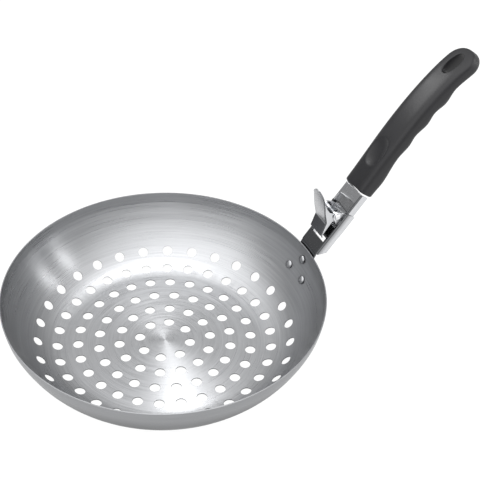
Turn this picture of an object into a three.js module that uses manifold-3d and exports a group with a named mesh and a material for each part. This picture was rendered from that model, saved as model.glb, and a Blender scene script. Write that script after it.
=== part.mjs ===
// Perforated grill wok with a slide-on handle, in millimetres, +Z up.
// The origin is the middle of the flat floor's underside, and the handle leaves the rim along +X.
import * as THREE from 'three';
import { mergeVertices } from 'three/addons/utils/BufferGeometryUtils.js';
import Module from 'manifold-3d';

// Bowl: one sheet, flat in the middle, turned up through a corner and a taller wall curve.
const SHEET = 1.0;
const RIM_R = 150;
const DEPTH = 61.8;
const FLOOR_R = 90;
const CORNER_R = 49;
const CORNER_TURN = 45;
const BOWL_FACETS = 60;
const ABOVE_RIM = 40;

// Draining holes: rings from the corner curve inwards, each with its radius, count and first angle.
const HOLE_D = 10;
const HOLE_SIDES = 8;
const HOLE_REACH = 3;
const HOLE_RINGS = [
  { radius: 119.4, count: 30, first: 5.1 },
  { radius: 101.6, count: 30, first: 5.1 },
  { radius: 82.2, count: 26, first: 7.4 },
  { radius: 62.8, count: 20, first: 4 },
  { radius: 43.4, count: 14, first: 9 },
  { radius: 24, count: 8, first: 12 },
];

// The handle's own axes start on the rim: x runs out along the rail, z stands on its top plate.
const HANDLE_TILT = 51.5;
const GAP = 0.3;

// How far a cutting or joining body reaches past the face that it passes.
const CUT = 1;

// Wall bracket: a C-shaped rail that opens downwards, on a pad curved to the wall.
const RAIL_W = 29.2;
const RAIL_H = 10.8;
const RAIL_SHEET = 1.6;
const RAIL_EDGE_R = 1.6;
const RAIL_LIP = 4.4;
const RAIL_END = 53;
const RAIL_SIDE_START = 9.8;
const RAIL_NECK_L = 3.5;
const RAIL_ROOT = -14;
const SLOT_W = 22;
const SLOT_START = 16.3;
const SLOT_END = 21.2;
const NOTCH_W = 22.8;
const NOTCH_START = 34.5;
const PAD_W = 38;
const PAD_TOP = 3.4;
const PAD_BOTTOM = 37;
const NECK_TOP = 0.4;
const PAD_CORNER_R = 8;

// Rivets through the wall: a pair below and one above it, depths counted down from the rim.
const RIVET_D = 4.4;
const RIVET_HEAD_D = 8.4;
const RIVET_HEAD_H = 2;
const RIVET_SIDES = 12;
const HEAD_SIDES = 16;
const RIVETS = [
  { name: 'bracket_rivet_left', side: 12.8, drop: 26.4 },
  { name: 'bracket_rivet_right', side: -12.8, drop: 26.4 },
  { name: 'bracket_rivet_top', side: 0, drop: 12.8 },
];

// Handle channel: full width outside the rail, a narrower tongue inside it and a flat tang in the grip.
const CHANNEL_W = 27.6;
const CHANNEL_H = 8.5;
const CHANNEL_SHEET = 1.3;
const CHANNEL_START = RAIL_END + 0.4;
const CHANNEL_END = 81;
const JOGGLE_TOP = 61.5;
const JOGGLE_FOOT = 50.5;
const TONGUE_W = 24.8;
const TONGUE_TOP = -2.6;
const TONGUE_SHEET = 1.3;
const TONGUE_BOTTOM = -8.8;
const TONGUE_START = 5;
const TONGUE_WALL = 1.2;
const TONGUE_WINDOW = [14.5, 26.5];
const TONGUE_WINDOW_W = 20;
const TANG_W = 14;
const TANG_H = 2.6;
const TANG_END = 172;
const TANG_LAP = 4;

// Latch: a pressed lever on a cross pin between two ears of the channel.
const PIN_X = 45.5;
const PIN_Z = 5;
const PIN_D = 4;
const PIN_HEAD_D = 6.6;
const PIN_HEAD_H = 1.5;
const EAR_SHEET = 1.1;
const EAR_INNER = 9.8;
const EAR_R = 4.6;
const EAR_FOOT = [37.2, 51.5];
const EAR_SHOULDER = 3.4;
const LEVER_W = 18.8;
const LEVER_SHEET = 1.1;
const BEND_X = 34.6;
const BEND_Z = 10.6;
const TAB_L = 14.3;
const TAB_FALL = 19.5;
const THUMB_L = 37.6;
const THUMB_RISE = 50;
const THUMB_TIP_R = 5.5;
const THUMB_STRAIGHT = 27;
const TOE = { x: 17.6, z: 0.5, width: 2, heel: [20.4, 4.4] };
const FLANGE_EDGE = [[22.8, 4.6], [38, 5.4]];
const WEB_TOP = { x: 51.4, z: 20 };

// Torsion spring round the pin: one leg runs back over the tongue, the other forward under the tab.
const SPRING_WIRE = 0.9;
const SPRING_R = 3.15;
const SPRING_TURNS = 5;
const SPRING_PITCH = 1.5;
const SPRING_STEPS = 8;
const SPRING_SIDES = 5;
const SPRING_TAB_LEG = 8;
const SPRING_TONGUE_LEG = 4.8;
const SPRING_LEG_TURN = 0.3;

// Grip: a moulded bar of rounded-box sections along an arched centre line.
const GRIP_START = 76;
const GRIP_MIDDLE = 150;
const GRIP_END = 241.5;
const GRIP_HALF_W = 15.6;
const GRIP_MOUTH_HALF_W = 14.6;
const GRIP_CREST = -0.7;
const GRIP_MOUTH_DROP = 3.3;
const GRIP_TAIL_DROP = 12.8;
const GRIP_SQUARENESS = 3.7;
const GRIP_MOUTH_SQUARENESS = 4.5;
const GRIP_ROUND_L = 16;
const GRIP_STATIONS = 48;
const GRIP_END_STATIONS = 6;
const GRIP_SIDES = 20;
const DIMPLE = { x: 115.5, length: 37, width: 25, depth: 2.6 };
const HANG_HOLE = { x: 222.7, length: 23.6, width: 12, sides: 28 };

// The grip's height above its centre line and depth below it, at places along it. The underside
// swells between the fingers.
const GRIP_ABOVE = [[76, 8.8], [92, 8.25], [150, 8.35], [198, 8.9], [212, 8.8], [241.5, 6.4]];
const GRIP_BELOW = [
  [76, 9.8], [97, 12.6], [124, 8.9], [138.5, 11.1], [149.5, 8.9], [164.5, 12.6],
  [177.5, 9.4], [190, 12.5], [207, 7.4], [228, 10.3], [241.5, 8.4],
];

const DEG = Math.PI / 180;

const wasm = await Module();
wasm.setup();

// Solids: a closed three.js geometry turned into one that can be cut and joined, and back again.
function solidOf(geometry) {
  const bare = geometry.index ? geometry.clone() : mergeVertices(geometry.clone());
  bare.deleteAttribute('normal');
  bare.deleteAttribute('uv');
  const merged = mergeVertices(bare, 1e-4);
  const points = Float32Array.from(merged.attributes.position.array);
  const corners = Uint32Array.from(merged.index.array);
  const kept = [];
  for (let i = 0; i < corners.length; i += 3) {
    const [a, b, c] = [corners[i], corners[i + 1], corners[i + 2]];
    if (a !== b && b !== c && c !== a) {
      kept.push(a, b, c);
    }
  }
  const facing = signedVolume(points, kept) > 0 ? kept : turned(kept);
  const mesh = new wasm.Mesh({ numProp: 3, vertProperties: points, triVerts: Uint32Array.from(facing) });
  return new wasm.Manifold(mesh);
}

function signedVolume(points, corners) {
  const [a, b, c] = [new THREE.Vector3(), new THREE.Vector3(), new THREE.Vector3()];
  let sum = 0;
  for (let i = 0; i < corners.length; i += 3) {
    a.fromArray(points, 3 * corners[i]);
    b.fromArray(points, 3 * corners[i + 1]);
    c.fromArray(points, 3 * corners[i + 2]);
    sum += a.dot(b.cross(c)) / 6;
  }
  return sum;
}

function turned(corners) {
  const result = [];
  for (let i = 0; i < corners.length; i += 3) {
    result.push(corners[i], corners[i + 2], corners[i + 1]);
  }
  return result;
}

function geometryOf(solid) {
  const mesh = solid.getMesh();
  const geometry = new THREE.BufferGeometry();
  geometry.setAttribute('position', new THREE.BufferAttribute(Float32Array.from(mesh.vertProperties), 3));
  geometry.setIndex(Array.from(mesh.triVerts));
  geometry.computeVertexNormals();
  return geometry;
}

// A box from its lowest to its highest corner.
function block(low, high) {
  const size = high.map((value, i) => value - low[i]);
  const box = new THREE.BoxGeometry(...size);
  return solidOf(box.translate(...low.map((value, i) => value + size[i] / 2)));
}

// A side outline in x and z, given its thickness across y from one face to the other.
function plate(outline, fromY, toY, curveSegments = 6) {
  const flat = new THREE.ExtrudeGeometry(outline, { depth: toY - fromY, bevelEnabled: false, curveSegments });
  return solidOf(flat.rotateX(Math.PI / 2).translate(0, toY, 0));
}

// A plan outline in x and y, given its height from one level to another.
function column(outline, fromZ, toZ, curveSegments = 6) {
  const depth = toZ - fromZ;
  const flat = new THREE.ExtrudeGeometry(outline, { depth, bevelEnabled: false, curveSegments });
  return solidOf(flat.translate(0, 0, fromZ));
}

// The two faces of a wall on the left (way 1) or right (way -1) side.
function onSide(way, inner, outer) {
  return way > 0 ? [inner, outer] : [-outer, -inner];
}

function outlineOf(points) {
  return new THREE.Shape(points.map(([x, y]) => new THREE.Vector2(x, y)));
}

// A round bar along y.
function crossBar(radius, fromY, toY, x, z, sides = 16) {
  const bar = new THREE.CylinderGeometry(radius, radius, toY - fromY, sides);
  return solidOf(bar.translate(x, (fromY + toY) / 2, z));
}

// A disc turned about z from its half profile, which starts and ends on the axis.
function turning(profile, facets) {
  const lathe = new THREE.LatheGeometry(profile.map(([r, z]) => new THREE.Vector2(r, z)), facets);
  return solidOf(lathe.rotateX(Math.PI / 2));
}

// The sheet's middle surface as points with the slope there. The wall is the arc that leaves the
// corner along its tangent and ends on the rim.
const cornerTurn = CORNER_TURN * DEG;
const wallFoot = new THREE.Vector2(
  FLOOR_R + CORNER_R * Math.sin(cornerTurn),
  SHEET / 2 + CORNER_R * (1 - Math.cos(cornerTurn)),
);
const rim = new THREE.Vector2(RIM_R, SHEET / 2 + DEPTH);
const wallChord = rim.clone().sub(wallFoot);
const along = wallChord.x * Math.cos(cornerTurn) + wallChord.y * Math.sin(cornerTurn);
const across = wallChord.y * Math.cos(cornerTurn) - wallChord.x * Math.sin(cornerTurn);
const wallR = wallChord.lengthSq() / (2 * across);
const wallTurn = 2 * Math.atan2(across, along);

function cornerPoint(turn) {
  const r = FLOOR_R + CORNER_R * Math.sin(turn);
  return { r, z: SHEET / 2 + CORNER_R * (1 - Math.cos(turn)), slope: turn };
}

function wallPoint(turn) {
  const slope = cornerTurn + turn;
  const r = wallFoot.x + wallR * (Math.sin(slope) - Math.sin(cornerTurn));
  return { r, z: wallFoot.y + wallR * (Math.cos(cornerTurn) - Math.cos(slope)), slope };
}

function middleProfile(cornerSteps = 4, wallSteps = 4) {
  const points = [{ r: 0, z: SHEET / 2, slope: 0 }];
  for (let i = 0; i <= cornerSteps; i++) {
    points.push(cornerPoint((cornerTurn * i) / cornerSteps));
  }
  for (let i = 1; i <= wallSteps; i++) {
    points.push(wallPoint((wallTurn * i) / wallSteps));
  }
  return points;
}

// The point on the wall a given depth below the rim.
function wallAtDrop(drop) {
  const cosine = Math.cos(cornerTurn) - (rim.y - drop - wallFoot.y) / wallR;
  return wallPoint(Math.acos(cosine) - cornerTurn);
}

function offset(points, distance) {
  return points.map(({ r, z, slope }) => {
    const outR = r === 0 ? 0 : r + distance * Math.sin(slope);
    return [outR, z - distance * Math.cos(slope)];
  });
}

// Everything inside the bowl's outer face, grown by a margin, up past the rim.
function bowlEnvelope(margin) {
  const outer = offset(middleProfile(), SHEET / 2 + margin);
  const [topR, topZ] = outer[outer.length - 1];
  return turning([...outer, [topR, topZ + ABOVE_RIM], [0, topZ + ABOVE_RIM]], BOWL_FACETS);
}

// A short bar through the sheet, square to its slope, at an angle round the bowl.
function wallPin(radius, half, place, angle, sides) {
  const bar = new THREE.CylinderGeometry(radius, radius, 2 * half, sides);
  bar.rotateX(Math.PI / 2).rotateZ(Math.PI / sides).rotateY(-place.slope);
  return solidOf(bar.translate(place.r, 0, place.z).rotateZ(angle));
}

function rivetPlace({ side, drop }) {
  const place = wallAtDrop(drop);
  return { place, angle: Math.asin(side / place.r) };
}

function bowl() {
  const middle = middleProfile();
  const outer = offset(middle, SHEET / 2);
  const inner = offset(middle, -SHEET / 2).reverse();
  let solid = turning([...outer, ...inner], BOWL_FACETS);
  const cuts = [];
  for (const { radius, count, first } of HOLE_RINGS) {
    const onCorner = Math.max(radius - FLOOR_R, 0) / CORNER_R;
    const place = { ...cornerPoint(Math.asin(onCorner)), r: radius };
    for (let i = 0; i < count; i++) {
      const angle = (first + (360 * i) / count) * DEG;
      cuts.push(wallPin(HOLE_D / 2, HOLE_REACH, place, angle, HOLE_SIDES));
    }
  }
  for (const rivet of RIVETS) {
    const { place, angle } = rivetPlace(rivet);
    cuts.push(wallPin(RIVET_D / 2 + GAP, HOLE_REACH, place, angle, RIVET_SIDES));
  }
  for (const cut of cuts) {
    solid = solid.subtract(cut);
  }
  return solid;
}

// The rail's section across y: round top edges, straight sides and lips turned in below.
function railSection() {
  const half = RAIL_W / 2;
  const inner = half - RAIL_SHEET;
  const shape = new THREE.Shape();
  shape.moveTo(-half, -RAIL_H);
  shape.lineTo(-half, -RAIL_EDGE_R);
  shape.absarc(-half + RAIL_EDGE_R, -RAIL_EDGE_R, RAIL_EDGE_R, Math.PI, Math.PI / 2, true);
  shape.absarc(half - RAIL_EDGE_R, -RAIL_EDGE_R, RAIL_EDGE_R, Math.PI / 2, 0, true);
  shape.lineTo(half, -RAIL_H);
  shape.lineTo(half - RAIL_LIP, -RAIL_H);
  shape.lineTo(half - RAIL_LIP, -RAIL_H + RAIL_SHEET);
  shape.lineTo(inner, -RAIL_H + RAIL_SHEET);
  shape.lineTo(inner, -RAIL_SHEET);
  shape.lineTo(-inner, -RAIL_SHEET);
  shape.lineTo(-inner, -RAIL_H + RAIL_SHEET);
  shape.lineTo(-half + RAIL_LIP, -RAIL_H + RAIL_SHEET);
  shape.lineTo(-half + RAIL_LIP, -RAIL_H);
  return shape;
}

// A section in y and z carried along x.
function rail(section, fromX, toX) {
  const depth = toX - fromX;
  const bar = new THREE.ExtrudeGeometry(section, { depth, bevelEnabled: false, curveSegments: 4 });
  const standing = new THREE.Matrix4().makeBasis(
    new THREE.Vector3(0, 1, 0),
    new THREE.Vector3(0, 0, 1),
    new THREE.Vector3(1, 0, 0),
  );
  return solidOf(bar.applyMatrix4(standing).translate(fromX, 0, 0));
}

const handleOrigin = new THREE.Vector3(RIM_R + SHEET / 2, 0, rim.y);
const handleTurn = new THREE.Euler(0, -HANDLE_TILT * DEG, 0);
const handleMatrix = new THREE.Matrix4().makeRotationFromEuler(handleTurn).setPosition(handleOrigin);

function inObjectFrame(solid) {
  return solidOf(geometryOf(solid).applyMatrix4(handleMatrix));
}

function roundedRectangle(halfW, low, high, radius) {
  const shape = new THREE.Shape();
  shape.moveTo(-halfW + radius, low);
  shape.lineTo(halfW - radius, low);
  shape.absarc(halfW - radius, low + radius, radius, -Math.PI / 2, 0);
  shape.absarc(halfW - radius, high - radius, radius, 0, Math.PI / 2);
  shape.absarc(-halfW + radius, high - radius, radius, Math.PI / 2, Math.PI);
  shape.absarc(-halfW + radius, low + radius, radius, Math.PI, 1.5 * Math.PI);
  return shape;
}

// The bracket is built in the object's axes, because its pad follows the bowl.
function bracket() {
  const half = SLOT_W / 2;
  let channel = rail(railSection(), RAIL_ROOT, RAIL_END);
  const relief = outlineOf([
    [RAIL_ROOT - CUT, -RAIL_SHEET],
    [RAIL_NECK_L, -RAIL_SHEET],
    [RAIL_SIDE_START, -RAIL_H - CUT],
    [RAIL_ROOT - CUT, -RAIL_H - CUT],
  ]);
  channel = channel.subtract(plate(relief, -RAIL_W, RAIL_W));
  channel = channel.subtract(block([SLOT_START, -half, -RAIL_SHEET - CUT], [SLOT_END, half, CUT]));
  const notchHalf = NOTCH_W / 2;
  const notchLow = [NOTCH_START, -notchHalf, -RAIL_SHEET - CUT];
  channel = channel.subtract(block(notchLow, [RAIL_END + CUT, notchHalf, CUT]));
  let shell = bowlEnvelope(GAP + RAIL_SHEET);
  const padOutline = roundedRectangle(PAD_W / 2, rim.y - PAD_BOTTOM, rim.y - PAD_TOP, PAD_CORNER_R);
  const neckHalf = RAIL_W / 2 - RAIL_EDGE_R;
  const beyond = RIM_R + PAD_CORNER_R;
  const neck = block([RIM_R / 2, -neckHalf, rim.y - PAD_BOTTOM / 2], [beyond, neckHalf, rim.y - NECK_TOP]);
  shell = shell.intersect(rail(padOutline, RIM_R / 2, beyond).add(neck));
  let solid = inObjectFrame(channel).add(shell);
  solid = solid.subtract(bowlEnvelope(GAP));
  for (const rivet of RIVETS) {
    const { place, angle } = rivetPlace(rivet);
    solid = solid.subtract(wallPin(RIVET_D / 2 + GAP, RIVET_D, place, angle, RIVET_SIDES));
  }
  return solid;
}

// A rivet is a shank with a low dome inside the bowl and a second one on the pad.
function rivetSolid(rivet) {
  const { place, angle } = rivetPlace(rivet);
  const inside = SHEET / 2 + 2 * GAP;
  const outside = -(SHEET / 2 + 3 * GAP + RAIL_SHEET);
  const shank = RIVET_D / 2;
  const head = RIVET_HEAD_D / 2;
  const dome = (base, way) => [0, 1, 2].map((i) => {
    const turn = (Math.PI * i) / 6;
    return [head * Math.cos(turn), base + way * RIVET_HEAD_H * Math.sin(turn)];
  });
  const profile = [
    [0, outside - RIVET_HEAD_H],
    ...dome(outside, -1).reverse(),
    [shank, outside],
    [shank, inside],
    ...dome(inside, 1),
    [0, inside + RIVET_HEAD_H],
  ];
  const lathe = new THREE.LatheGeometry(profile.map(([r, z]) => new THREE.Vector2(r, z)), HEAD_SIDES);
  lathe.rotateX(Math.PI / 2).rotateY(-place.slope);
  return solidOf(lathe.translate(place.r, 0, place.z).rotateZ(angle));
}

// An upright ear: a round head about the pin on a foot that stands on the tongue.
function earOutline() {
  const [footFrom, footTo] = EAR_FOOT;
  const shape = new THREE.Shape();
  const root = TONGUE_TOP - TONGUE_SHEET / 2;
  shape.moveTo(footFrom, root);
  shape.lineTo(footTo, root);
  shape.lineTo(footTo, TONGUE_TOP + EAR_SHOULDER);
  shape.absarc(PIN_X, PIN_Z, EAR_R, 35 * DEG, 165 * DEG);
  shape.lineTo(footFrom, TONGUE_TOP + EAR_SHOULDER / 2);
  return shape;
}

function channel() {
  const half = CHANNEL_W / 2;
  const inner = half - CHANNEL_SHEET;
  const top = block([JOGGLE_TOP, -half, -CHANNEL_SHEET], [CHANNEL_END, half, 0]);
  let solid = top;
  for (const way of [-1, 1]) {
    const [low, high] = onSide(way, inner, half);
    solid = solid.add(block([CHANNEL_START, low, -CHANNEL_H], [CHANNEL_END, high, 0]));
  }
  const slope = -TONGUE_TOP / (JOGGLE_TOP - JOGGLE_FOOT);
  const startZ = TONGUE_TOP + slope * (CHANNEL_START - JOGGLE_FOOT);
  const ramp = outlineOf([
    [CHANNEL_START, startZ - TONGUE_SHEET],
    [JOGGLE_TOP, -TONGUE_SHEET],
    [JOGGLE_TOP + CUT, -TONGUE_SHEET],
    [JOGGLE_TOP + CUT, 0],
    [JOGGLE_TOP, 0],
    [CHANNEL_START, startZ],
  ]);
  const rampHalf = half - CHANNEL_SHEET / 2;
  solid = solid.add(plate(ramp, -rampHalf, rampHalf));
  const tongueHalf = TONGUE_W / 2;
  const tongueEnd = CHANNEL_START + CUT;
  const tongueEndZ = TONGUE_TOP + slope * (tongueEnd - JOGGLE_FOOT);
  const tongue = outlineOf([
    [TONGUE_START, TONGUE_TOP - TONGUE_SHEET],
    [JOGGLE_FOOT, TONGUE_TOP - TONGUE_SHEET],
    [tongueEnd, tongueEndZ - TONGUE_SHEET],
    [tongueEnd, tongueEndZ],
    [JOGGLE_FOOT, TONGUE_TOP],
    [TONGUE_START, TONGUE_TOP],
  ]);
  solid = solid.add(plate(tongue, -tongueHalf, tongueHalf));
  for (const way of [-1, 1]) {
    const wallTop = TONGUE_TOP - TONGUE_SHEET / 2;
    const [low, high] = onSide(way, tongueHalf - TONGUE_WALL, tongueHalf);
    solid = solid.add(block([TONGUE_START, low, TONGUE_BOTTOM], [tongueEnd, high, wallTop]));
    solid = solid.add(plate(earOutline(), ...onSide(way, EAR_INNER, EAR_INNER + EAR_SHEET), 5));
  }
  const [windowFrom, windowTo] = TONGUE_WINDOW;
  const windowHalf = TONGUE_WINDOW_W / 2;
  const windowLow = TONGUE_TOP - TONGUE_SHEET - CUT;
  solid = solid.subtract(block([windowFrom, -windowHalf, windowLow], [windowTo, windowHalf, 0]));
  solid = solid.add(block([CHANNEL_END - TANG_LAP, -TANG_W / 2, -TANG_H], [TANG_END, TANG_W / 2, 0]));
  return solid.subtract(crossBar(PIN_D / 2 + GAP, -half, half, PIN_X, PIN_Z));
}

// The lever's side flange: toe at the tab's tip, a boss round the pin, and a web up behind the thumb plate.
function flangeOutline() {
  const tab = tabPoint(TAB_L);
  const shape = new THREE.Shape();
  const high = thumbPoint(THUMB_STRAIGHT);
  shape.moveTo(tab.x, tab.z);
  shape.lineTo(TOE.x, TOE.z);
  shape.lineTo(TOE.x + TOE.width, TOE.z);
  shape.lineTo(...TOE.heel);
  for (const corner of FLANGE_EDGE) {
    shape.lineTo(...corner);
  }
  shape.absarc(PIN_X, PIN_Z, EAR_R, 230 * DEG, 385 * DEG);
  shape.lineTo(WEB_TOP.x, WEB_TOP.z);
  shape.lineTo(high.x + LEVER_SHEET, high.z - LEVER_SHEET);
  shape.lineTo(high.x, high.z);
  shape.lineTo(BEND_X, BEND_Z);
  return shape;
}

function tabPoint(distance) {
  const fall = TAB_FALL * DEG;
  return { x: BEND_X - distance * Math.cos(fall), z: BEND_Z - distance * Math.sin(fall) };
}

function thumbPoint(distance) {
  const rise = THUMB_RISE * DEG;
  return { x: BEND_X + distance * Math.cos(rise), z: BEND_Z + distance * Math.sin(rise) };
}

function lever() {
  const half = LEVER_W / 2;
  const thumb = new THREE.Shape();
  thumb.moveTo(0, -half);
  thumb.lineTo(THUMB_STRAIGHT, -half);
  thumb.lineTo(THUMB_L - THUMB_TIP_R, -THUMB_TIP_R);
  thumb.absarc(THUMB_L - THUMB_TIP_R, 0, THUMB_TIP_R, -Math.PI / 2, Math.PI / 2);
  thumb.lineTo(THUMB_STRAIGHT, half);
  thumb.lineTo(0, half);
  const bar = new THREE.ExtrudeGeometry(thumb, { depth: LEVER_SHEET, bevelEnabled: false, curveSegments: 6 });
  bar.translate(0, 0, -LEVER_SHEET).rotateY(-THUMB_RISE * DEG).translate(BEND_X, 0, BEND_Z);
  const tab = tabPoint(TAB_L);
  const under = { x: LEVER_SHEET * Math.sin(TAB_FALL * DEG), z: -LEVER_SHEET * Math.cos(TAB_FALL * DEG) };
  const tabOutline = outlineOf([
    [tab.x, tab.z],
    [tab.x + under.x, tab.z + under.z],
    [BEND_X + 2 * under.x, BEND_Z + under.z],
    [BEND_X + LEVER_SHEET, BEND_Z],
    [BEND_X, BEND_Z],
  ]);
  let solid = solidOf(bar).add(plate(tabOutline, -half, half));
  for (const way of [-1, 1]) {
    solid = solid.add(plate(flangeOutline(), ...onSide(way, half - LEVER_SHEET, half), 8));
  }
  return solid.subtract(crossBar(PIN_D / 2 + GAP, -half - CUT, half + CUT, PIN_X, PIN_Z));
}

function pin() {
  const outer = EAR_INNER + EAR_SHEET + GAP;
  const head = PIN_HEAD_D / 2;
  let solid = crossBar(PIN_D / 2, -outer - PIN_HEAD_H / 4, outer + PIN_HEAD_H / 4, PIN_X, PIN_Z);
  for (const way of [-1, 1]) {
    const dome = [
      new THREE.Vector2(0, 0),
      new THREE.Vector2(head, 0),
      new THREE.Vector2(head, PIN_HEAD_H / 3),
      new THREE.Vector2(0.7 * head, 0.8 * PIN_HEAD_H),
      new THREE.Vector2(0, PIN_HEAD_H),
    ];
    const lathe = new THREE.LatheGeometry(dome, HEAD_SIDES);
    if (way < 0) {
      lathe.rotateX(Math.PI);
    }
    solid = solid.add(solidOf(lathe.translate(PIN_X, way * outer, PIN_Z)));
  }
  return solid;
}

// A tube of a few sides along points, closed at both ends. Every ring stands square to the path.
function tubeSolid(points, radius, sides, axisHint) {
  const positions = [];
  const corners = [];
  points.forEach((point, i) => {
    const before = points[Math.max(i - 1, 0)];
    const after = points[Math.min(i + 1, points.length - 1)];
    const ahead = after.clone().sub(before).normalize();
    const side = axisHint.clone().cross(ahead).normalize();
    const up = ahead.clone().cross(side);
    for (let k = 0; k < sides; k++) {
      const turn = (2 * Math.PI * k) / sides;
      const corner = point.clone().addScaledVector(side, radius * Math.cos(turn));
      corner.addScaledVector(up, radius * Math.sin(turn));
      positions.push(...corner.toArray());
    }
  });
  for (let i = 0; i + 1 < points.length; i++) {
    for (let k = 0; k < sides; k++) {
      const [a, b] = [i * sides + k, i * sides + ((k + 1) % sides)];
      corners.push(a, a + sides, b, b, a + sides, b + sides);
    }
  }
  const last = (points.length - 1) * sides;
  for (let k = 1; k + 1 < sides; k++) {
    corners.push(0, k, k + 1);
    corners.push(last, last + k + 1, last + k);
  }
  const geometry = new THREE.BufferGeometry();
  geometry.setAttribute('position', new THREE.Float32BufferAttribute(positions, 3));
  geometry.setIndex(corners);
  return solidOf(geometry);
}

// The torsion spring: a helix along the pin with a straight leg at each end.
function springPath() {
  const points = [];
  const count = SPRING_TURNS * SPRING_STEPS;
  const startTurn = -Math.PI / 2;
  for (let i = 0; i <= count; i++) {
    const turn = startTurn - (2 * Math.PI * i) / SPRING_STEPS - SPRING_LEG_TURN * (i / count);
    const y = -SPRING_TURNS * SPRING_PITCH / 2 + (SPRING_PITCH * i) / SPRING_STEPS;
    points.push(new THREE.Vector3(PIN_X + SPRING_R * Math.cos(turn), y, PIN_Z + SPRING_R * Math.sin(turn)));
  }
  const first = points[0].clone().add(new THREE.Vector3(SPRING_TONGUE_LEG, 0, -SPRING_WIRE / 2));
  const endTurn = startTurn - 2 * Math.PI * SPRING_TURNS - SPRING_LEG_TURN;
  const away = new THREE.Vector3(Math.sin(endTurn), 0, -Math.cos(endTurn)).multiplyScalar(SPRING_TAB_LEG);
  const last = points[points.length - 1].clone().add(away);
  return [first, ...points, last];
}

// The least distance between parts of the path a turn apart, less the wire, printed as a check.
function springGap(path) {
  let least = Infinity;
  for (let i = 0; i < path.length; i++) {
    for (let k = i + SPRING_STEPS - 2; k < path.length; k++) {
      least = Math.min(least, path[i].distanceTo(path[k]) - SPRING_WIRE);
    }
  }
  return least;
}

function spring() {
  const path = springPath();
  console.log(`latch spring: least gap between turns ${springGap(path).toFixed(2)} mm`);
  return tubeSolid(path, SPRING_WIRE / 2, SPRING_SIDES, new THREE.Vector3(0, 1, 0));
}

const mix = (from, to, share) => from + (to - from) * share;
const smooth = (share) => THREE.MathUtils.smoothstep(share, 0, 1);

// A value at x between listed places, easing in and out of each.
function eased(places, x) {
  const next = Math.max(places.findIndex(([place]) => place >= x), 1);
  const [fromX, from] = places[next - 1];
  const [toX, to] = places[next];
  return mix(from, to, smooth((x - fromX) / (toX - fromX)));
}

// The grip's section at a place along it: middle height, half width, height above and depth below,
// and the power of its rounded box. Past the start of the tail's round the section closes in.
function gripSection(x) {
  const towardMouth = Math.max(GRIP_MIDDLE - x, 0) / (GRIP_MIDDLE - GRIP_START);
  const towardTail = Math.max(x - GRIP_MIDDLE, 0) / (GRIP_END - GRIP_MIDDLE);
  const middle = GRIP_CREST - GRIP_MOUTH_DROP * towardMouth ** 2 - GRIP_TAIL_DROP * towardTail ** 2;
  const round = Math.max(x - (GRIP_END - GRIP_ROUND_L), 0) / GRIP_ROUND_L;
  const full = mix(GRIP_MOUTH_HALF_W, GRIP_HALF_W, smooth(1 - towardMouth));
  const halfW = full * Math.sqrt(1 - round ** 2.2);
  const close = Math.sqrt(Math.sqrt(1 - round ** 6));
  const squareness = mix(GRIP_MOUTH_SQUARENESS, GRIP_SQUARENESS, smooth(2 * (1 - towardMouth)));
  return { middle, halfW, up: eased(GRIP_ABOVE, x) * close, down: eased(GRIP_BELOW, x) * close, squareness };
}

// Places of the sections: even along the bar, then closer and closer to the tail's end.
function gripStations() {
  const roundFrom = GRIP_END - GRIP_ROUND_L;
  const even = GRIP_STATIONS - GRIP_END_STATIONS;
  const stations = [];
  for (let i = 0; i < even; i++) {
    stations.push(mix(GRIP_START, roundFrom, i / even));
  }
  for (let i = 0; i <= GRIP_END_STATIONS; i++) {
    const turn = (0.97 * Math.PI * i) / (2 * GRIP_END_STATIONS);
    stations.push(roundFrom + GRIP_ROUND_L * Math.sin(turn));
  }
  return stations;
}

function grip() {
  const positions = [];
  const corners = [];
  const stations = gripStations();
  for (const x of stations) {
    const { middle, halfW, up, down, squareness } = gripSection(x);
    for (let k = 0; k < GRIP_SIDES; k++) {
      const turn = (2 * Math.PI * k) / GRIP_SIDES;
      const power = 2 / squareness;
      const y = halfW * Math.sign(Math.cos(turn)) * Math.abs(Math.cos(turn)) ** power;
      const rise = Math.sign(Math.sin(turn)) * Math.abs(Math.sin(turn)) ** power;
      positions.push(x, y, middle + (rise > 0 ? up : down) * rise);
    }
  }
  for (let i = 0; i + 1 < stations.length; i++) {
    for (let k = 0; k < GRIP_SIDES; k++) {
      const [a, b] = [i * GRIP_SIDES + k, i * GRIP_SIDES + ((k + 1) % GRIP_SIDES)];
      corners.push(a, b, a + GRIP_SIDES, b, b + GRIP_SIDES, a + GRIP_SIDES);
    }
  }
  const last = (stations.length - 1) * GRIP_SIDES;
  for (let k = 1; k + 1 < GRIP_SIDES; k++) {
    corners.push(0, k + 1, k);
    corners.push(last, last + k, last + k + 1);
  }
  const geometry = new THREE.BufferGeometry();
  geometry.setAttribute('position', new THREE.Float32BufferAttribute(positions, 3));
  geometry.setIndex(corners);
  let solid = solidOf(geometry);

  const { x: dimpleX, length, width, depth } = DIMPLE;
  const at = gripSection(dimpleX);
  const ball = new THREE.SphereGeometry(1, 20, 12).scale(length / 2, width / 2, depth * 2);
  solid = solid.subtract(solidOf(ball.translate(dimpleX, 0, at.middle + at.up + depth)));
  solid = solid.subtract(column(hangHoleOutline(), -2 * GRIP_HALF_W, GRIP_HALF_W));

  const from = GRIP_START - CUT;
  const half = CHANNEL_W / 2 + GAP;
  const tangHalf = TANG_W / 2 + GAP;
  solid = solid.subtract(block([from, -half, -CHANNEL_H - GAP], [CHANNEL_END + GAP, half, GAP]));
  return solid.subtract(block([from, -tangHalf, -TANG_H - GAP], [TANG_END + GAP, tangHalf, GAP]));
}

function hangHoleOutline() {
  const { x, length, width, sides } = HANG_HOLE;
  const points = [];
  for (let i = 0; i < sides; i++) {
    const turn = (2 * Math.PI * i) / sides;
    points.push([x + (length / 2) * Math.cos(turn), (width / 2) * Math.sin(turn)]);
  }
  return outlineOf(points);
}

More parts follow.
